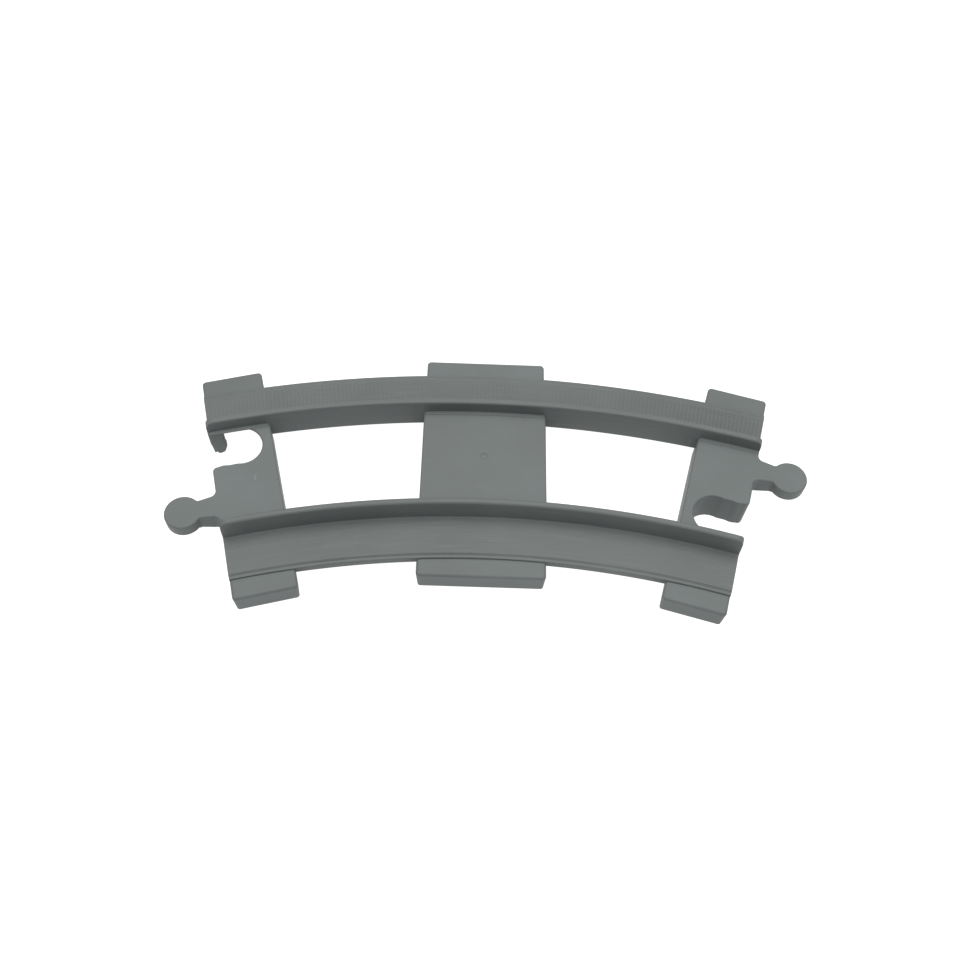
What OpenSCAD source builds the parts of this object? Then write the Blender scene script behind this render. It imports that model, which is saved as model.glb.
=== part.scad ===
// Curved model track section: an arc of two guide rails carried on three hollow sleepers.
// +Z is up and the ground is z = 0. +X runs along the track and +Y points out of the curve.
// The origin is on the ground, on the centre line, at the middle of the arc.

/* [Curve] */
// Radius of the centre line
curve_r = 256; // [248:1:264]
// Angle that the section covers
arc_angle = 30; // [28:0.5:32]

/* [Sleepers] */
// Width of the centre sleeper along the track
centre_w = 31.2; // [30:0.1:32]
// Width of each end sleeper along the track
end_w = 15.6; // [15.4:0.1:16]
// Half the length of the centre sleeper
centre_half = 31.5; // [30:0.1:33]
// Half the length of an end sleeper
end_half = 31.9; // [30:0.1:33]
// Height of the sleeper decks between the rails
deck_top = 9.6; // [9:0.1:10.4]
// Height of the sleeper feet outside the rails
foot_top = 6.3; // [5.8:0.1:6.5]
// Wall thickness of the hollow sleepers
wall = 1.6; // [1.2:0.1:1.8]
// Thickness of the sleeper decks
deck_t = 2; // [1.4:0.1:2.4]
// Radius of the upright corners of the feet
corner_r = 0.8; // [0.3:0.1:1.2]

/* [Rails] */
// Distance from the centre line to the inner face of a guide rib
rib_in = 13.3; // [13:0.1:13.5]
// Width of a guide rib at its root
rib_w = 2.7; // [2.4:0.1:3]
// Height of the top of the guide ribs
rib_top = 13; // [12:0.1:14]
// Height of the running surface
tread_top = 7.2; // [7:0.1:7.6]
// Distance from the centre line to the edge of the running surface
tread_out = 25.8; // [25:0.1:26]
// Distance from the centre line to the outer face of a rail
rail_out = 27; // [26.8:0.1:27.4]
// Drop from the running surface to the ledge beside it
ledge_drop = 0.4; // [0.2:0.1:0.5]
// Height of the lower edges of the rails
rail_bottom = 4.7; // [4.2:0.1:5]
// Thickness of the rail plates and skirts
rail_t = 1.4; // [1.2:0.1:1.5]

/* [Grip ridges] */
// Number of cross ridges along the outer rail
ridge_count = 141; // [60:1:160]
// Height of a ridge
ridge_h = 0.2; // [0.1:0.05:0.3]

/* [Couplings] */
// Distance of both couplings from the centre line
coupling_offset = 8; // [7.9:0.05:8.1]
// Radius of the peg head
peg_r = 4.45; // [4.2:0.05:4.6]
// Distance from the end face to the centre of the peg head
peg_reach = 8.4; // [8:0.1:8.8]
// Width of the peg neck
neck_w = 5.4; // [4:0.1:5.8]
// Height of the underside of the peg neck
neck_bottom = 4.2; // [3.6:0.1:5]
// Height of the underside of the peg head
head_bottom = 5.7; // [5.4:0.1:6.4]
// Radius of the round end of the socket
socket_r = 5.2; // [5.1:0.05:5.25]
// Distance from the end face to the centre of the round end
socket_depth = 7.8; // [7.6:0.1:8]

/* [Hidden] */
$fn = 96;
arc_fn = 360;
half_angle = arc_angle / 2;
rib_out = rib_in + rib_w;
ledge_top = tread_top - ledge_drop;
ledge_in = tread_out + 0.5;
rib_round = 0.7;
rib_lean_in = 0.5;
rib_lean_out = 0.6;
cavity_top = deck_top - deck_t;
foot_cap = 1.5;
mouth_half = 5;
mouth_round = 1.2;
lip_r = 4;
lip_at = 2.7;
lip = 0.25;
open_from = socket_depth + 1.8;
collar_stop = coupling_offset + 1;
hook_w = 3.8;
hook_out = 15;
hook_in = coupling_offset + mouth_half - 0.05;
notch_r = socket_r + 2;
notch_top = 8.7;
head_bevel = 0.6;
neck_run = peg_reach - peg_r + 1.2;
neck_fillet = 1.6;
tube_r = 6.6;
tube_bore_r = 4.8;
ridge_w = 0.5;
ridge_in = rib_out + 0.8;
ridge_out = tread_out - 0.8;
reach = 40;
over = 1;
plastic = "#6f7a7c";
plastic_light = "#77827f";

// Points of a round corner, from one angle to another
function corner(x, y, r, from, to, steps = 6) =
  [for (i = [0:steps]) let (a = from + (to - from) * i / steps) [x + r * cos(a), y + r * sin(a)]];

// Moves children to the curve's centre
module at_curve_centre() {
  translate([0, -curve_r, 0]) children();
}

// Sweeps a section along the arc; its X is the distance out of the curve from the centre line
module along_arc() {
  at_curve_centre() rotate(90 - half_angle)
    rotate_extrude(angle = arc_angle, $fn = arc_fn) translate([curve_r, 0]) children();
}

// Puts children at one end: their +X leads out of the track and their +Y out of the curve
module at_end(side) {
  at_curve_centre() rotate(-side * half_angle) translate([0, curve_r, 0]) scale([side, 1, 1]) children();
}

// Part of a ring round the curve's centre, between two distances from the centre line
module ring(inner, outer, bottom, top) {
  at_curve_centre() translate([0, 0, bottom]) difference() {
    cylinder(r = curve_r + outer, h = top - bottom, $fn = arc_fn);
    translate([0, 0, -over]) cylinder(r = curve_r + inner, h = top - bottom + 2 * over, $fn = arc_fn);
  }
}

// Box given by its two opposite corners
module block(low, high) {
  translate(low) cube(high - low);
}

// Section of a rail: a channel, open below, with a step down to its outer ledge
module rail_section(side) {
  scale([side, 1]) polygon([
    [rib_in, rail_bottom],
    [rib_in + rail_t, rail_bottom],
    [rib_in + rail_t, tread_top - rail_t],
    [rail_out - rail_t, tread_top - rail_t],
    [rail_out - rail_t, rail_bottom],
    [rail_out, rail_bottom],
    [rail_out, ledge_top],
    [ledge_in, ledge_top],
    [tread_out, tread_top],
    [rib_in, tread_top]
  ]);
}

// Section of a guide rib: both faces lean in a little, up to a rounded top
module rib_section(side) {
  x_out = rib_out - rib_lean_out - rib_round;
  x_in = rib_in + rib_lean_in + rib_round;
  y = rib_top - rib_round;
  scale([side, 1]) polygon(concat(
    [[rib_in, tread_top], [rib_out, tread_top]],
    corner(x_out, y, rib_round, 6, 90),
    corner(x_in, y, rib_round, 90, 175)
  ));
}

// Space that the rails take out of a foot
module rail_space() {
  ring(rib_in, rail_out, rail_bottom, deck_top + over);
  ring(-rail_out, -rib_in, rail_bottom, deck_top + over);
}

// Both sockets' notches in the inner faces of the rails
module socket_notches() {
  for (side = [-1, 1]) at_end(side) translate([-socket_depth, -side * coupling_offset, 0])
    cylinder(r = notch_r, h = notch_top);
}

// Outline of a socket seen from above, on the +Y side of an end sleeper
module socket_outline() {
  corner_y = coupling_offset - mouth_half - mouth_round;
  difference() {
    union() {
      translate([-socket_depth, coupling_offset]) circle(r = socket_r);
      translate([-socket_depth, coupling_offset - mouth_half]) square([socket_depth + over, 2 * mouth_half]);
      translate([-open_from, coupling_offset]) square([open_from + over, coupling_offset]);
      translate([-mouth_round, corner_y]) square([mouth_round + over, mouth_round + over]);
    }
    translate([-mouth_round, corner_y]) circle(r = mouth_round);
    translate([-lip_at, coupling_offset - mouth_half + lip - lip_r]) circle(r = lip_r);
  }
}

// Wall round the side of a socket nearer the centre line, before the socket's outline is taken out
module collar_outline() {
  intersection() {
    translate([-socket_depth, coupling_offset]) circle(r = socket_r + wall);
    translate([-reach, -reach]) square([2 * reach, reach + collar_stop]);
  }
  translate([-socket_depth, coupling_offset - mouth_half - wall])
    square([socket_depth - wall, mouth_half + wall]);
}

// Block of a socket's outer jaw, on the given side of the centre line
module hook_block(side) {
  scale([1, side, 1]) block([-hook_w, hook_in, 0], [0, hook_out, deck_top]);
}

// Outer jaw of a socket: it stands against the rail's inner face and reaches in below the rail
module hook(side) {
  difference() {
    hook_block(side);
    rail_space();
  }
}

// Deck of an end sleeper between the rails, cut by the socket on the given side
module end_deck(socket_side) {
  color(plastic_light) difference() {
    intersection() {
      block([-end_w, -reach, 0], [0, reach, deck_top]);
      ring(-rib_in, rib_in, 0, deck_top);
    }
    block([-end_w + wall, -reach, -over], [-wall, reach, cavity_top]);
    translate([0, 0, -over]) scale([1, socket_side, 1])
      linear_extrude(deck_top + 2 * over) socket_outline();
  }
}

// Wall of a socket below the deck, with its outer jaw
module socket(side) {
  color(plastic) {
    intersection() {
      scale([1, side, 1]) linear_extrude(cavity_top) difference() {
        collar_outline();
        socket_outline();
      }
      block([-end_w + wall, -reach, 0], [-wall, reach, deck_top]);
      ring(-rib_in, rib_in, 0, deck_top);
    }
    hook(side);
  }
}

// Peg on a neck, on the given side of the centre line
module peg(side) {
  root = neck_w / 2 + neck_fillet;
  color(plastic_light) translate([0, side * coupling_offset, 0]) {
    difference() {
      union() {
        block([0, -neck_w / 2, neck_bottom], [neck_run, neck_w / 2, deck_top]);
        block([0, -root, neck_bottom], [neck_fillet, root, deck_top]);
      }
      for (s = [-1, 1]) translate([neck_fillet, s * root, 0]) cylinder(r = neck_fillet, h = deck_top + over);
    }
    translate([peg_reach, 0, head_bottom]) cylinder(r1 = peg_r - head_bevel, r2 = peg_r, h = head_bevel);
    translate([peg_reach, 0, head_bottom + head_bevel])
      cylinder(r = peg_r, h = deck_top - head_bottom - head_bevel);
  }
}

// Outline of a foot seen from above, with its two outer corners rounded
module foot_outline(back, front, half) {
  translate([back, 0]) square([front - back, half - corner_r]);
  translate([back + corner_r, 0]) square([front - back - 2 * corner_r, half]);
  for (x = [back + corner_r, front - corner_r]) translate([x, half - corner_r]) circle(r = corner_r);
}

// Foot of a sleeper: it runs out from the deck, below the rail, and is open below
module foot(back, front, half, side) {
  inner = side > 0 ? rib_in : -reach;
  outer = side > 0 ? reach : -rib_in;
  difference() {
    intersection() {
      scale([1, side, 1]) linear_extrude(foot_top) foot_outline(back, front, half);
      ring(inner, outer, 0, foot_top);
    }
    scale([1, side, 1])
      block([back + wall, 0, -over], [front - wall, half - wall, foot_top - foot_cap]);
    rail_space();
  }
}

// Foot of an end sleeper; a foot on the socket's side leaves room for the outer jaw
module end_foot(side, socket_side) {
  difference() {
    foot(-end_w, 0, end_half, side);
    if (side == socket_side) hook_block(side);
  }
}

// Outer rail
module outer_rail() {
  color(plastic) difference() {
    along_arc() rail_section(1);
    socket_notches();
  }
}

// Guide rib of the outer rail
module outer_rib() {
  color(plastic) difference() {
    along_arc() rib_section(1);
    socket_notches();
  }
}

// Cross ridges on the running surface of the outer rail
module grip_ridges() {
  step = arc_angle / ridge_count;
  color(plastic_light) for (i = [0:ridge_count - 1])
    at_curve_centre() rotate(half_angle - (i + 0.5) * step)
      block([-ridge_w / 2, curve_r + ridge_in, tread_top], [ridge_w / 2, curve_r + ridge_out, tread_top + ridge_h]);
}

// Inner rail
module inner_rail() {
  color(plastic) difference() {
    along_arc() rail_section(-1);
    socket_notches();
  }
}

// Guide rib of the inner rail
module inner_rib() {
  color(plastic) difference() {
    along_arc() rib_section(-1);
    socket_notches();
  }
}

// Deck of the centre sleeper, on two side walls
module centre_deck() {
  color(plastic_light) difference() {
    intersection() {
      block([-centre_w / 2, -reach, 0], [centre_w / 2, reach, deck_top]);
      ring(-rib_in, rib_in, 0, deck_top);
    }
    block([-centre_w / 2 + wall, -reach, -over], [centre_w / 2 - wall, reach, cavity_top]);
  }
}

// Tube below the centre deck that grips between four studs
module centre_tube() {
  color(plastic) difference() {
    cylinder(r = tube_r, h = cavity_top);
    translate([0, 0, -over]) cylinder(r = tube_bore_r, h = cavity_top + 2 * over);
  }
}

// Foot of the centre sleeper outside the curve
module centre_outer_foot() {
  color(plastic) foot(-centre_w / 2, centre_w / 2, centre_half, 1);
}

// Foot of the centre sleeper inside the curve
module centre_inner_foot() {
  color(plastic) foot(-centre_w / 2, centre_w / 2, centre_half, -1);
}

// Left end sleeper, with its socket towards the outside of the curve
module left_deck() {
  at_end(-1) end_deck(1);
}

module left_socket() {
  at_end(-1) socket(1);
}

module left_peg() {
  at_end(-1) peg(-1);
}

module left_outer_foot() {
  color(plastic) at_end(-1) end_foot(1, 1);
}

module left_inner_foot() {
  color(plastic) at_end(-1) end_foot(-1, 1);
}

// Right end sleeper, with its socket towards the inside of the curve
module right_deck() {
  at_end(1) end_deck(-1);
}

module right_socket() {
  at_end(1) socket(-1);
}

module right_peg() {
  at_end(1) peg(1);
}

module right_outer_foot() {
  color(plastic) at_end(1) end_foot(1, -1);
}

module right_inner_foot() {
  color(plastic) at_end(1) end_foot(-1, -1);
}

outer_rail();
outer_rib();
grip_ridges();
inner_rail();
inner_rib();
centre_deck();
centre_tube();
centre_outer_foot();
centre_inner_foot();
left_deck();
left_socket();
left_peg();
left_outer_foot();
left_inner_foot();
right_deck();
right_socket();
right_peg();
right_outer_foot();
right_inner_foot();
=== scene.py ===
"""Looks of a curved model track section: one moulding of satin bluish-grey plastic on a pale floor."""

import math

import bmesh
import bpy
from mathutils import Matrix, Vector


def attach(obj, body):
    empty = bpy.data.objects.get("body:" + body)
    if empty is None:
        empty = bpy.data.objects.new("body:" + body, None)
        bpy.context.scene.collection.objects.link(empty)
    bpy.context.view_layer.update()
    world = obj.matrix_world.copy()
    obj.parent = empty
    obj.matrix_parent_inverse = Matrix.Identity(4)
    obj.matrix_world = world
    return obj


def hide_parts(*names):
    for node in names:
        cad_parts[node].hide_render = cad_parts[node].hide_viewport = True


MM = 0.001

# Sizes in millimetres. The main ones are the frame's; z is up, and u and v are an end's own axes.
CURVE_R = 256.0
HALF_ANGLE = math.radians(15)
CENTRE_W = 31.2
CENTRE_HALF = 31.5
END_W = 15.6
END_HALF = 31.9
DECK_TOP = 9.6
FOOT_TOP = 6.3
WALL = 1.6
CAVITY_TOP = 7.6
FOOT_CAP = 1.5
FOOT_CORNER = 1.0
RIB_IN = 13.3
RIB_OUT = 16.0
RIB_TOP = 13.0
TREAD_TOP = 7.2
TREAD_OUT = 25.8
LEDGE_IN = 26.3
LEDGE_TOP = 6.8
RAIL_OUT = 27.0
RAIL_BOTTOM = 4.7
RAIL_T = 1.4
RIDGE_COUNT = 141
COUPLING = 8.0
PEG_R = 4.45
PEG_REACH = 8.4
NECK_ROOT = 2.9
NECK_TIP = 2.5
NECK_BOTTOM = 4.2
NECK_RISE_FROM = 3.2
NECK_RISE_TO = 6.2
HEAD_BOTTOM = 5.7
NECK_FILLET = 1.6
HEAD_FILLET = 1.0
NECK_EDGE = 0.4
HEAD_EDGE = 0.6
SOCKET_R = 5.2
SOCKET_DEPTH = 7.8
MOUTH_HALF = 5.0
MOUTH_ROUND = 1.2
LIP_R = 4.0
LIP_AT = 2.7
LIP = 0.2
OPEN_FROM = 9.6
COLLAR_STOP = 9.0
UNDERCUT = 0.75
HOOK_IN = 12.95
HOOK_OUT = 14.5
HOOK_EDGE = 0.3
NOTCH_R = 7.2
NOTCH_TOP = 8.7
NOTCH_ALONG = (-11.9, -3.7)
NOTCH_OUT = 15.4
TUBE_R = 6.6
TUBE_BORE_R = 4.8

# Small details of the moulding, and overlaps that keep its shells closed
EDGE = 0.45
FOOT_EDGE = 0.75
FOOT_DRAFT = 0.3
BOTTOM_EDGE = 0.15
SHOULDER = DECK_TOP - EDGE
RIB_END_R = 2.1
STRIP_W = 0.8
STRIP_H = 0.16
STRIP_SHORT = 0.35
STRIP_ROUND = 0.5
NOTCH_CLEAR = 1.0
RAIL_EDGE = 0.12
RAIL_STEPS = 120
RIB_END_STEPS = (0.2, 0.35, 0.6, 0.9, 1.3, 1.7, RIB_END_R)
RIDGE_H = 0.17
RIDGE_SAMPLES = 8
GATE_R = 1.0
GATE_DEPTH = 0.12
VESTIGE_R = 0.4
FOOT_OVERLAP = 0.6
BURIED = 14.0
SHY = 0.02
REACH = 40.0

# Lighter spots on upper faces, the first a painted highlight on the gate's vestige and the second a
# scuff: x, y, half width and half depth
HIGHLIGHT_AND_SCUFF_SPOTS = [(0.0, 0.0, 0.15, 0.15), (-56.1, -8.3, 0.12, 0.6)]

# Across the outer rail: distance from the centre line, height over the tread, share of the ridges' wave
RIDGE_ROWS = [
    (16.2, -0.03, 0),
    (16.6, 0.004, 0),
    (17.0, 0.004, 1),
    (24.7, 0.004, 1),
    (25.0, 0.004, 0),
    (25.1, -0.03, 0),
]

SIDE_NAME = {-1: "left", 1: "right"}

# Camera: focal length, place, and turns about x, y and z in degrees
CAMERA_LENS = 40.18
CAMERA_AT = (-4.235, -143.035, 236.55)
CAMERA_TURN = (30.935, -1.599, 1.245)

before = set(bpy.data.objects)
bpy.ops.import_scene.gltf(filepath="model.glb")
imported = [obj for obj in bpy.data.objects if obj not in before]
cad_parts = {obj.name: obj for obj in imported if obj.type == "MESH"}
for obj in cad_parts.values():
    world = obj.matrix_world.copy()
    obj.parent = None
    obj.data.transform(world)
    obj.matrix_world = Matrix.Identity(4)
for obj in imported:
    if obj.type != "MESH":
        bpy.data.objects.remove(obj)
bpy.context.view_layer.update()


# ---------------------------------------------------------------- places

def on_arc(a, angle):
    """Point at distance a out of the curve from the centre line, at an angle from mid arc."""
    return (CURVE_R + a) * math.sin(angle), (CURVE_R + a) * math.cos(angle) - CURVE_R


def at_end(side, u, v):
    """Point in an end's frame: u leads out of the track and v out of the curve."""
    s, c = math.sin(HALF_ANGLE), math.cos(HALF_ANGLE)
    return side * (u * c + (CURVE_R + v) * s), -CURVE_R - u * s + (CURVE_R + v) * c


def end_place(side, way):
    """Placer for one end; a way of -1 turns v over, into the curve."""
    def place(u, v):
        return at_end(side, u, way * v)
    return place


def at_centre(u, v):
    """Point in the centre sleeper's frame, which is the frame's own."""
    return u, v


def centre_place(way):
    """Placer for the centre sleeper; a way of -1 turns v over, into the curve."""
    def place(u, v):
        return u, way * v
    return place


# ---------------------------------------------------------------- outlines

def arc(cx, cy, r, start, stop, step=4.0):
    """Points of an arc, with both ends, from one angle in degrees to another."""
    n = max(2, math.ceil(abs(stop - start) / step))
    angles = (math.radians(start + (stop - start) * i / n) for i in range(n + 1))
    return [(cx + r * math.cos(t), cy + r * math.sin(t)) for t in angles]


def rounded(corners, step=12.0):
    """Closed outline through corners (x, y, r), each rounded with its own radius."""
    points = []
    n = len(corners)
    for i, (x, y, r) in enumerate(corners):
        here = Vector((x, y))
        back = (Vector(corners[i - 1][:2]) - here).normalized()
        ahead = (Vector(corners[(i + 1) % n][:2]) - here).normalized()
        turn = math.pi - back.angle(ahead)
        if r <= 0 or turn < 1e-4:
            points.append((x, y))
            continue
        reach = r * math.tan(turn / 2)
        centre = here + (back + ahead).normalized() * (r / math.cos(turn / 2))
        first = here + back * reach - centre
        spin = turn if ahead.x * back.y - ahead.y * back.x > 0 else -turn
        k = max(1, math.ceil(math.degrees(turn) / step))
        for j in range(k + 1):
            p = centre + Matrix.Rotation(spin * j / k, 2) @ first
            points.append((p.x, p.y))
    return points


def inset(outline, distance):
    """Moves a closed anticlockwise outline inwards."""
    moved = []
    n = len(outline)
    for i in range(n):
        p, here, q = Vector(outline[i - 1]), Vector(outline[i]), Vector(outline[(i + 1) % n])
        n1 = Vector((here.y - p.y, p.x - here.x)).normalized()
        n2 = Vector((q.y - here.y, here.x - q.x)).normalized()
        miter = (n1 + n2) / max(0.4, 1 + n1.dot(n2))
        moved.append(tuple(here - miter * distance))
    return moved


def anticlockwise(outline):
    """The outline in anticlockwise order, whichever way it ran."""
    area = sum(p[0] * q[1] - q[0] * p[1] for p, q in zip(outline, outline[1:] + outline[:1]))
    return outline if area > 0 else outline[::-1]


# ---------------------------------------------------------------- meshes

def mesh_object(name, rings):
    """Skins a stack of rings of 3-D points, in millimetres, each ring closed."""
    bm = bmesh.new()
    rows = [[bm.verts.new([c * MM for c in p]) for p in ring] for ring in rings]
    for low, high in zip(rows, rows[1:]):
        for i in range(len(low)):
            j = (i + 1) % len(low)
            bm.faces.new((low[i], low[j], high[j], high[i]))
    bm.faces.new(rows[0][::-1])
    bm.faces.new(rows[-1])
    bmesh.ops.recalc_face_normals(bm, faces=bm.faces)
    return finished(name, bm)


def finished(name, bm):
    """Turns the working mesh into an object in the scene."""
    mesh = bpy.data.meshes.new(name)
    bm.to_mesh(mesh)
    bm.free()
    obj = bpy.data.objects.new(name, mesh)
    bpy.context.scene.collection.objects.link(obj)
    return obj


def rounding(r, steps=4):
    """Inset and height of each ring on a rounded edge, from the flat face out to the side."""
    angles = (math.pi / 2 * i / steps for i in range(steps + 1))
    return [(r * (1 - math.sin(t)), r * (1 - math.cos(t))) for t in angles]


def prism(name, outline, place, bottom, top, bottom_edge=0.0, top_edge=0.0, draft=0.0):
    """Upright block of an outline (u, v), with rounded edges; its sides lean in by the draft below."""
    outline = anticlockwise(outline)
    rings = []
    for d, h in rounding(bottom_edge) if bottom_edge else [(0, 0)]:
        rings.append((d + draft, bottom + h))
    for d, h in reversed(rounding(top_edge)) if top_edge else [(0, 0)]:
        rings.append((d, top - h))
    levels = [[(*place(*p), z) for p in (inset(outline, d) if d else outline)] for d, z in rings]
    return mesh_object(name, levels)


def box(name, place, u0, u1, v0, v1, bottom, top):
    """Upright block between two values of u and of v."""
    return prism(name, [(u0, v0), (u1, v0), (u1, v1), (u0, v1)], place, bottom, top)


def cut(obj, *cutters):
    """Takes the cutters out of a piece and removes them."""
    for cutter in cutters:
        mod = obj.modifiers.new("cut", "BOOLEAN")
        mod.operation = "DIFFERENCE"
        mod.solver = "EXACT"
        mod.object = cutter
    graph = bpy.context.evaluated_depsgraph_get()
    mesh = bpy.data.meshes.new_from_object(obj.evaluated_get(graph))
    obj.modifiers.clear()
    old, obj.data = obj.data, mesh
    bpy.data.meshes.remove(old)
    for cutter in cutters:
        data = cutter.data
        bpy.data.objects.remove(cutter)
        bpy.data.meshes.remove(data)
    return obj


def join(name, *parts):
    """Puts several shells into one piece."""
    bm = bmesh.new()
    for part in parts:
        bm.from_mesh(part.data)
        data = part.data
        bpy.data.objects.remove(part)
        bpy.data.meshes.remove(data)
    return finished(name, bm)


def dress(obj, material, slot, *nodes):
    """Smooth shading, material, and the CAD nodes that the piece stands for."""
    mesh = obj.data
    mesh.materials.clear()
    mesh.materials.append(material)
    for face in mesh.polygons:
        face.use_smooth = True
    mesh.set_sharp_from_angle(angle=math.radians(35))
    normals = obj.modifiers.new("normals", "WEIGHTED_NORMAL")
    normals.keep_sharp = True
    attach(obj, "root")
    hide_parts(*nodes)
    return obj


# ---------------------------------------------------------------- rails

def rail_section():
    """Section of a rail and its guide rib as (distance from the centre line, height)."""
    return rounded([
        (RIB_IN, RAIL_BOTTOM, 0.2),
        (RIB_IN + RAIL_T, RAIL_BOTTOM, 0.2),
        (RIB_IN + RAIL_T, TREAD_TOP - RAIL_T, 0.3),
        (RAIL_OUT - RAIL_T, TREAD_TOP - RAIL_T, 0.3),
        (RAIL_OUT - RAIL_T, RAIL_BOTTOM, 0.2),
        (RAIL_OUT, RAIL_BOTTOM, 0.2),
        (RAIL_OUT, LEDGE_TOP, 0.25),
        (LEDGE_IN, LEDGE_TOP, 0.15),
        (TREAD_OUT, TREAD_TOP, 0.2),
        (RIB_OUT, TREAD_TOP, 0.4),
        (RIB_OUT - 0.6, RIB_TOP, 0.65),
        (RIB_IN + 0.55, RIB_TOP, 0.6),
        (RIB_IN, 8.4, 0.0),
    ])


def rib_drop(h):
    """How far a rib's rounded end lies below its top, at a distance h from the end."""
    short = max(0.0, RIB_END_R - h)
    return RIB_END_R - math.sqrt(RIB_END_R ** 2 - short ** 2)


def rail(name, way, socket_side):
    """Sweeps the rail's section along the arc; way is 1 outside the centre line and -1 inside it."""
    section = anticlockwise(rail_section())
    length = 2 * HALF_ANGLE * CURVE_R
    stations = [(h, d) for d, h in rounding(RAIL_EDGE)] + [(h, 0.0) for h in RIB_END_STEPS]
    stations += [(length * i / RAIL_STEPS, 0.0) for i in range(2, RAIL_STEPS // 2 + 1)]
    stations += [(length - h, d) for h, d in reversed(stations[:-1])]
    rings = []
    for h, d in stations:
        points = inset(section, d) if d else section
        cap = RIB_TOP - rib_drop(min(h, length - h))
        angle = h / CURVE_R - HALF_ANGLE
        rings.append([(*on_arc(way * a, angle), min(z, cap)) for a, z in points])
    obj = mesh_object(name, rings)
    place = end_place(socket_side, way)
    circle = arc(-SOCKET_DEPTH, COUPLING, NOTCH_R, 0, 360)[:-1]
    gap = box("gap", place, *NOTCH_ALONG, RIB_IN - NOTCH_CLEAR, NOTCH_OUT, -1, NOTCH_TOP)
    return cut(obj, prism("notch", circle, place, -1, NOTCH_TOP), gap)


def ridge_height(angle, phase):
    """Height of the ridges' wave, which is worn unevenly and most of all at the left end."""
    worn = 0.78 + 0.14 * math.sin(31 * angle + 0.8) + 0.08 * math.sin(87 * angle)
    worn *= min(1.0, 0.35 + 6.0 * (angle + HALF_ANGLE))
    return RIDGE_H * worn * (0.5 - 0.5 * math.cos(phase)) ** 1.5


def grip_ridges():
    """Low rounded ridges across the outer rail's running surface."""
    bm = bmesh.new()
    grid = []
    n = RIDGE_COUNT * RIDGE_SAMPLES
    for i in range(n + 1):
        angle = HALF_ANGLE * (2 * i / n - 1) * 0.9995
        wave = ridge_height(angle, 2 * math.pi * i / RIDGE_SAMPLES)
        row = [(*on_arc(a, angle), TREAD_TOP + z + share * wave) for a, z, share in RIDGE_ROWS]
        grid.append([bm.verts.new([c * MM for c in point]) for point in row])
    for left, right in zip(grid, grid[1:]):
        for j in range(len(RIDGE_ROWS) - 1):
            bm.faces.new((left[j], left[j + 1], right[j + 1], right[j]))
    bmesh.ops.recalc_face_normals(bm, faces=bm.faces)
    if sum(f.normal.z for f in bm.faces) < 0:
        bmesh.ops.reverse_faces(bm, faces=bm.faces)
    return finished("grip_ridges_strip", bm)


# ---------------------------------------------------------------- sleepers

def foot(name, place, back, front, half):
    """Hollow end of a sleeper, from below the rail out to its rounded front."""
    outline = rounded([
        (back, BURIED - FOOT_OVERLAP, 0),
        (front, BURIED - FOOT_OVERLAP, 0),
        (front, half + FOOT_DRAFT, FOOT_CORNER),
        (back, half + FOOT_DRAFT, FOOT_CORNER),
    ])
    block = prism(name, outline, place, 0, FOOT_TOP, BOTTOM_EDGE, FOOT_EDGE, FOOT_DRAFT)
    inside = (back + WALL, front - WALL)
    return cut(
        block,
        box("hollow", place, *inside, BURIED - 2, half - WALL, -1, FOOT_TOP - FOOT_CAP),
        box("open", place, *inside, BURIED - 2, RAIL_OUT - 0.1, -1, FOOT_TOP + 1),
    )


def strip(start, stop, turn=0.0):
    """Low strip on a deck along the outer rib; its length is measured along the arc from an angle."""
    low, high = RIB_IN - STRIP_W, RIB_IN + 0.3
    first, last = start + STRIP_SHORT, stop - STRIP_SHORT
    between = [first + (last - first) * i / 16 for i in range(1, 16)]
    corners = [(first, low, STRIP_ROUND)] + [(t, low, 0) for t in between] + [(last, low, STRIP_ROUND)]
    corners += [(last, high, 0)] + [(t, high, 0) for t in reversed(between)] + [(first, high, 0)]

    def place(t, a):
        return on_arc(a, turn + t / (CURVE_R + low))

    return prism("strip", rounded(corners), place, DECK_TOP - 0.15, DECK_TOP + STRIP_H, 0, STRIP_H)


def centre_deck():
    """Deck and side walls of the centre sleeper, with a gate mark in the middle."""
    half = CENTRE_W / 2
    outline = [(-half, -BURIED), (half, -BURIED), (half, BURIED), (-half, BURIED)]
    block = prism("centre_deck_shell", outline, at_centre, 0, DECK_TOP, BOTTOM_EDGE, EDGE)
    inside = half - WALL
    ring = arc(0, 0, GATE_R, 0, 360, 15)[:-1]
    gate = prism("gate", ring, at_centre, DECK_TOP - GATE_DEPTH, DECK_TOP + 1, 0.1)
    block = cut(block, gate, box("hollow", at_centre, -inside, inside, -REACH, REACH, -1, CAVITY_TOP))
    ring = arc(0, 0, VESTIGE_R, 0, 360, 20)[:-1]
    vestige = prism("vestige", ring, at_centre, DECK_TOP - 1, DECK_TOP - 0.02, 0, GATE_DEPTH)
    return join("centre_deck_shell", block, vestige, strip(-half, half))


def centre_tube():
    """Round tube with eased rims, closed by the deck above it."""
    ease = 0.25
    profile = rounded([
        (TUBE_BORE_R, 0, ease),
        (TUBE_R, 0, ease),
        (TUBE_R, CAVITY_TOP + 0.2, 0),
        (TUBE_BORE_R, CAVITY_TOP + 0.2, 0),
    ])
    turns = 96
    bm = bmesh.new()
    rows = []
    for i in range(turns):
        t = 2 * math.pi * i / turns
        ring = [(r * math.cos(t), r * math.sin(t), z) for r, z in profile]
        rows.append([bm.verts.new([c * MM for c in point]) for point in ring])
    for i in range(turns):
        here, ahead = rows[i], rows[(i + 1) % turns]
        for j in range(len(profile)):
            k = (j + 1) % len(profile)
            bm.faces.new((here[j], here[k], ahead[k], ahead[j]))
    bmesh.ops.recalc_face_normals(bm, faces=bm.faces)
    return finished("centre_tube_shell", bm)


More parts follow.
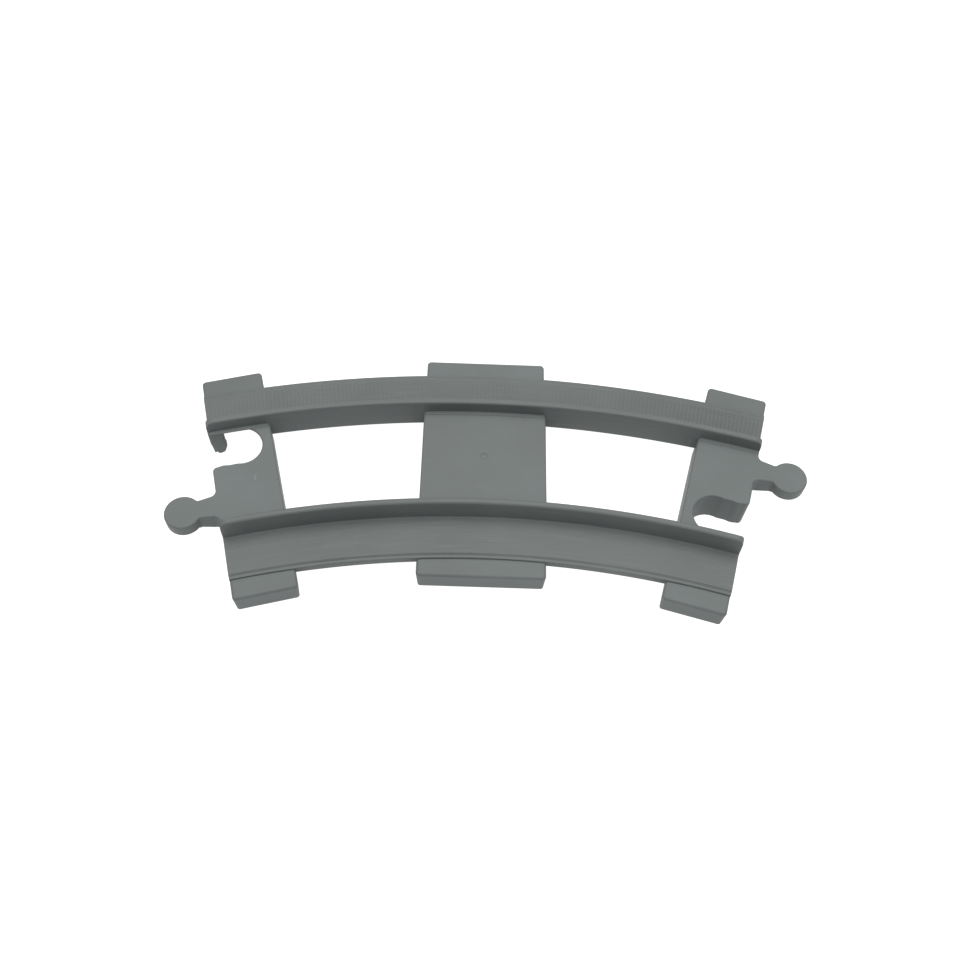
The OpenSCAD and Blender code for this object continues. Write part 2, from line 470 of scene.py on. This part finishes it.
def slot_edge():
    """Edge of the socket's outline, from the end face round to the rail, with the socket on +v."""
    low = COUPLING - MOUTH_HALF
    points = arc(-MOUTH_ROUND, low - MOUTH_ROUND, MOUTH_ROUND, 0, 90, 6)
    rise = math.degrees(math.asin((LIP_R - LIP) / LIP_R))
    points += arc(-LIP_AT, low + LIP - LIP_R, LIP_R, rise, 180 - rise, 3)
    start = 360 - math.degrees(math.asin(MOUTH_HALF / SOCKET_R))
    stop = math.degrees(math.acos(-(OPEN_FROM - SOCKET_DEPTH) / SOCKET_R))
    points += arc(-SOCKET_DEPTH, COUPLING, SOCKET_R, start, stop)
    return points + [(-OPEN_FROM, BURIED), (-END_W, BURIED)]


def neck_side():
    """One side of the peg's neck as (u, half width), out to the head, and its angle on the head."""
    root = arc(NECK_FILLET, NECK_ROOT + NECK_FILLET, NECK_FILLET, 180, 270, 8)
    run = math.sqrt((PEG_R + HEAD_FILLET) ** 2 - (NECK_TIP + HEAD_FILLET) ** 2)
    turn = math.degrees(math.atan2(NECK_TIP + HEAD_FILLET, run))
    tip = arc(PEG_REACH - run, NECK_TIP + HEAD_FILLET, HEAD_FILLET, -90, -turn, 8)
    return root + tip, turn


def peg_edge():
    """Outline of the peg, centred on v = 0, from the end face round the head and back."""
    high, turn = neck_side()
    low = [(u, -half) for u, half in high]
    head = arc(PEG_REACH, 0, PEG_R, turn - 180, 180 - turn)
    return low + head[1:-1] + high[::-1]


def shifted(points, dv):
    """Moves an outline across the track."""
    return [(u, v + dv) for u, v in points]


def neck_floor(u):
    """Height of the neck's underside, which sweeps up to the head."""
    t = min(1.0, max(0.0, (u - NECK_RISE_FROM) / (NECK_RISE_TO - NECK_RISE_FROM)))
    return NECK_BOTTOM + (HEAD_BOTTOM + 0.1 - NECK_BOTTOM) * t * t * (3 - 2 * t)


def neck(place):
    """Lower part of the peg's neck, below the rounded top edge."""
    side, _ = neck_side()
    along = [(-WALL / 2, side[0][1])] + side + [(NECK_RISE_TO, side[-1][1]), (PEG_REACH, side[-1][1])]
    rings = []
    for u, half in along:
        low = neck_floor(u)
        section = rounded([
            (-half, low, NECK_EDGE),
            (half, low, NECK_EDGE),
            (half, SHOULDER, 0),
            (-half, SHOULDER, 0),
        ])
        rings.append([(*place(u, v - COUPLING), z) for v, z in section])
    return mesh_object("neck", rings)


def undercut(place):
    """Leaning hole that thins the deck's plate towards the rail, below the socket's round end."""
    rings = []
    for z in (DECK_TOP - 4.0, SHOULDER - 0.05):
        lean = (SHOULDER - z) * UNDERCUT
        circle = arc(-SOCKET_DEPTH, COUPLING + lean, SOCKET_R - 0.03, 0, 360)[:-1]
        rings.append([(*place(u, v), z) for u, v in circle])
    return mesh_object("undercut", rings)


def end_hollow(place):
    """Hollow below an end deck, which leaves the wall round the socket standing."""
    hollow = box("hollow", place, -END_W + WALL, -WALL, -REACH, REACH, -1, CAVITY_TOP)
    collar_r = SOCKET_R + WALL
    lean = math.degrees(math.asin((COLLAR_STOP - COUPLING) / collar_r))
    collar = arc(-SOCKET_DEPTH, COUPLING, collar_r, 180 - lean, 270)
    collar += [(0, COUPLING - collar_r), (0, COLLAR_STOP)]
    return cut(hollow, prism("collar", collar, place, -2, DECK_TOP))


def end_pieces(side, socket_way):
    """Deck with its socket wall, and peg; socket_way is the socket's side of the centre line."""
    place = end_place(side, socket_way)
    rear = [(-END_W, -BURIED), (-SHY, -BURIED), (-SHY, -RIB_IN), (0, -RIB_IN + SHY)]
    core = prism("core", rear + slot_edge(), place, 0, SHOULDER, BOTTOM_EDGE)
    core = cut(core, end_hollow(place), undercut(place))
    full = rear + shifted(peg_edge(), -COUPLING) + slot_edge()
    top = prism("top", full, place, SHOULDER, DECK_TOP, 0, EDGE)
    head = arc(PEG_REACH, -COUPLING, PEG_R, 0, 360)[:-1]
    head = prism("head", head, place, HEAD_BOTTOM, SHOULDER, HEAD_EDGE)
    ends = sorted((-side * END_W, 0.0))
    deck = join(SIDE_NAME[side] + "_end_deck", core, top, strip(*ends, side * HALF_ANGLE))
    return deck, join(SIDE_NAME[side] + "_peg_stem", neck(place), head)


def hook(side, socket_way):
    """Outer jaw of a socket, against the rail's inner face, narrower towards the ground."""
    outline = anticlockwise(rounded([
        (0, DECK_TOP, 0.3),
        (0, 4.6, 3.0),
        (-1.3, 0, 0.7),
        (-3.0, 0.6, 1.0),
        (-3.9, 3.0, 1.2),
        (-3.4, 6.3, 1.5),
        (-3.9, 8.9, 1.4),
        (-5.4, 9.2, 0.1),
        (-5.4, DECK_TOP, 0.1),
    ]))
    rings = []
    for d, h in rounding(HOOK_EDGE):
        rings.append([(*at_end(side, u, socket_way * (HOOK_IN + h)), z) for u, z in inset(outline, d)])
    rings.append([(*at_end(side, u, socket_way * HOOK_OUT), z) for u, z in outline])
    return mesh_object(SIDE_NAME[side] + "_socket_jaw", rings)


# ---------------------------------------------------------------- materials

def add(tree, kind, **sockets):
    """New shader node; each keyword sets an input, given as a value or as another node's output."""
    node = tree.nodes.new(kind)
    for key, value in sockets.items():
        feed(tree, node.inputs[key.replace("_", " ")], value)
    return node


def feed(tree, socket, value):
    """Sets an input, or links another node's output to it."""
    if isinstance(value, bpy.types.NodeSocket):
        tree.links.new(value, socket)
    else:
        socket.default_value = value


def maths(tree, operation, *values):
    """Output of a math node."""
    node = tree.nodes.new("ShaderNodeMath")
    node.operation = operation
    for socket, value in zip(node.inputs, values):
        feed(tree, socket, value)
    return node.outputs[0]


def span(tree, value, low, high, out_low=0.0, out_high=1.0):
    """Maps one range of values to another, clamped."""
    node = add(tree, "ShaderNodeMapRange", Value=value, From_Min=low, From_Max=high,
               To_Min=out_low, To_Max=out_high)
    return node.outputs["Result"]


def noise(tree, where, scale, detail=3.0, roughness=0.55):
    """Noise from 0 to 1, with its scale in cycles per metre."""
    node = add(tree, "ShaderNodeTexNoise", Vector=where, Scale=scale, Detail=detail, Roughness=roughness)
    return node.outputs["Fac"]


def blend(tree, factor, first, second):
    """Colour between two colours."""
    node = tree.nodes.new("ShaderNodeMix")
    node.data_type = "RGBA"
    feed(tree, node.inputs[0], factor)
    feed(tree, node.inputs[6], first)
    feed(tree, node.inputs[7], second)
    return node.outputs[2]


def shade(colour, factor):
    """Lighter or darker colour."""
    return tuple(factor * c for c in colour) + (1.0,)


def along_track(tree, where):
    """Place along the arc, distance from the curve's centre, and height."""
    x, y, z = add(tree, "ShaderNodeSeparateXYZ", Vector=where).outputs
    out = maths(tree, "ADD", y, CURVE_R * MM)
    squares = maths(tree, "ADD", maths(tree, "MULTIPLY", x, x), maths(tree, "MULTIPLY", out, out))
    run = maths(tree, "MULTIPLY", maths(tree, "ARCTAN2", x, out), CURVE_R * MM)
    return run, maths(tree, "SQRT", squares), z


def bar(tree, where, x, y, half_x, half_y):
    """Mask of a small soft-edged rectangle on an upper face."""
    part = add(tree, "ShaderNodeSeparateXYZ", Vector=where)
    mask = span(tree, part.outputs[2], 0.5 * DECK_TOP * MM, 0.6 * DECK_TOP * MM)
    for axis, centre, half in ((0, x, half_x), (1, y, half_y)):
        away = maths(tree, "ABSOLUTE", maths(tree, "SUBTRACT", part.outputs[axis], centre * MM))
        mask = maths(tree, "MULTIPLY", mask, span(tree, away, half * MM, (half + 0.15) * MM, 1.0, 0.0))
    return mask


def scuffs(tree, where):
    """Mask of fine slanting scratches, which gather in patches."""
    slant = add(tree, "ShaderNodeMapping", Vector=where, Rotation=(0.0, 0.0, 0.7),
                Scale=(90.0, 1500.0, 90.0))
    scratch = span(tree, noise(tree, slant.outputs[0], scale=1.0, detail=2.0), 0.68, 0.74)
    patch = span(tree, noise(tree, where, scale=120.0, detail=2.0), 0.52, 0.62)
    return maths(tree, "MULTIPLY", scratch, patch)


def rub_streaks(tree, where):
    """Noise drawn out along the arc."""
    run, radius, height = along_track(tree, where)
    drawn_out = maths(tree, "MULTIPLY", run, 0.045)
    streak_at = add(tree, "ShaderNodeCombineXYZ", X=drawn_out, Y=radius, Z=height)
    return noise(tree, streak_at.outputs[0], scale=1500.0, detail=3.0, roughness=0.65)


def plastic(name, colour, rubbed):
    """Satin moulded plastic with uneven colour, grain, scuffs and a painted highlight spot; rubbed is how
    much wheels mark it.
    """
    mat = bpy.data.materials.new(name)
    mat.use_nodes = True
    tree = mat.node_tree
    bsdf = tree.nodes["Principled BSDF"]
    where = add(tree, "ShaderNodeTexCoord").outputs["Object"]
    cloud = noise(tree, where, scale=38.0, detail=4.0)
    grain = noise(tree, where, scale=2600.0, detail=2.0)
    streak = rub_streaks(tree, where)
    scuff = scuffs(tree, where)
    rub = maths(tree, "MULTIPLY", span(tree, streak, 0.52, 0.72), rubbed)
    marks_and_highlight = maths(tree, "ADD", maths(tree, "MULTIPLY", scuff, 0.3), maths(tree, "MULTIPLY", rub, 0.16))
    # The first spot paints a highlight onto the gate's vestige; the second is a light scuff.
    for spot in HIGHLIGHT_AND_SCUFF_SPOTS:
        marks_and_highlight = maths(tree, "ADD", marks_and_highlight, maths(tree, "MULTIPLY", bar(tree, where, *spot), 0.45))
    body = blend(tree, span(tree, cloud, 0.35, 0.65), shade(colour, 0.91), shade(colour, 1.09))
    feed(tree, bsdf.inputs["Base Color"], blend(tree, marks_and_highlight, body, shade(colour, 1.7)))
    polish = maths(tree, "MULTIPLY", marks_and_highlight, -0.18)
    rough = maths(tree, "ADD", span(tree, cloud, 0.3, 0.7, 0.5, 0.6), polish)
    feed(tree, bsdf.inputs["Roughness"], rough)
    relief = maths(tree, "ADD", grain, maths(tree, "MULTIPLY", streak, 0.8 * rubbed))
    relief = maths(tree, "SUBTRACT", relief, maths(tree, "MULTIPLY", scuff, 0.6))
    bump = add(tree, "ShaderNodeBump", Strength=0.3, Distance=0.00008, Height=relief)
    feed(tree, bsdf.inputs["Normal"], bump.outputs[0])
    bsdf.inputs["Specular IOR Level"].default_value = 0.3
    return mat


# ---------------------------------------------------------------- studio

def floor():
    """Pale floor that gives off its own soft white light, so that shadows stay faint."""
    bm = bmesh.new()
    bmesh.ops.create_grid(bm, x_segments=8, y_segments=8, size=6)
    obj = finished("floor", bm)
    mat = bpy.data.materials.new("floor_white")
    mat.use_nodes = True
    bsdf = mat.node_tree.nodes["Principled BSDF"]
    bsdf.inputs["Base Color"].default_value = (0.2, 0.2, 0.2, 1)
    bsdf.inputs["Roughness"].default_value = 0.9
    bsdf.inputs["Emission Color"].default_value = (1, 1, 1, 1)
    bsdf.inputs["Emission Strength"].default_value = 1.0
    obj.data.materials.append(mat)
    obj.location.z = -0.0002


def camera():
    """Camera above and in front of the track, looking down at it."""
    data = bpy.data.cameras.new("camera")
    data.sensor_width = 36.0
    data.lens = CAMERA_LENS
    data.clip_start = 0.01
    obj = bpy.data.objects.new("camera", data)
    obj.location = Vector(CAMERA_AT) * MM
    obj.rotation_euler = [math.radians(turn) for turn in CAMERA_TURN]
    bpy.context.scene.collection.objects.link(obj)
    bpy.context.scene.camera = obj


def area_light(name, position, target, size, power):
    """Round soft light aimed at a point."""
    data = bpy.data.lights.new(name, "AREA")
    data.shape = "DISK"
    data.size = size
    data.energy = power
    obj = bpy.data.objects.new(name, data)
    obj.location = position
    aim = Vector(target) - Vector(position)
    obj.rotation_euler = aim.to_track_quat("-Z", "Y").to_euler()
    bpy.context.scene.collection.objects.link(obj)


def studio():
    """Even white surroundings and one soft light overhead, a little behind the track."""
    scene = bpy.context.scene
    scene.view_settings.view_transform = "Standard"
    world = bpy.data.worlds.new("studio")
    world.use_nodes = True
    world.node_tree.nodes["Background"].inputs["Color"].default_value = (1, 1, 1, 1)
    world.node_tree.nodes["Background"].inputs["Strength"].default_value = 0.68
    scene.world = world
    area_light("softbox", (0, 0.15, 0.8), (0, 0, 0), 0.9, 7.6)


# ---------------------------------------------------------------- assembly

def dress_feet(look):
    """Six feet: on both sides of each sleeper."""
    half = CENTRE_W / 2
    for way, word in ((1, "outer"), (-1, "inner")):
        name = "centre_" + word + "_foot"
        piece = foot(name + "_shell", centre_place(way), -half, half, CENTRE_HALF)
        dress(piece, look, "sleeper_plastic", name)
        for side in (-1, 1):
            name = SIDE_NAME[side] + "_" + word + "_foot"
            piece = foot(name + "_shell", end_place(side, way), -END_W, 0, END_HALF)
            dress(piece, look, "sleeper_plastic", name)


def dress_ends(look):
    """Decks, pegs and socket jaws; the left socket is on the curve's outer side, the right one inside."""
    for side, socket_way in ((-1, 1), (1, -1)):
        word = SIDE_NAME[side]
        deck, peg = end_pieces(side, socket_way)
        dress(deck, look, "sleeper_plastic", word + "_deck")
        dress(peg, look, "sleeper_plastic", word + "_peg")
        dress(hook(side, socket_way), look, "sleeper_plastic", word + "_socket")


def build():
    """The whole track section."""
    sleeper_look = plastic("sleeper_plastic", (0.1, 0.112, 0.11), 0.25)
    # Painted shade: the rails get a copy of the same plastic made about 6% darker than the sleepers'
    # copy.
    rail_look_painted_shade = plastic("rail_plastic", (0.094, 0.104, 0.102), 1.0)
    dress(rail("outer_rail_skin", 1, -1), rail_look_painted_shade, "rail_plastic", "outer_rail", "outer_rib")
    dress(rail("inner_rail_skin", -1, 1), rail_look_painted_shade, "rail_plastic", "inner_rail", "inner_rib")
    dress(grip_ridges(), rail_look_painted_shade, "rail_plastic", "grip_ridges")
    dress(centre_deck(), sleeper_look, "sleeper_plastic", "centre_deck")
    dress(centre_tube(), sleeper_look, "sleeper_plastic", "centre_tube")
    dress_feet(sleeper_look)
    dress_ends(sleeper_look)


build()
floor()
studio()
camera()
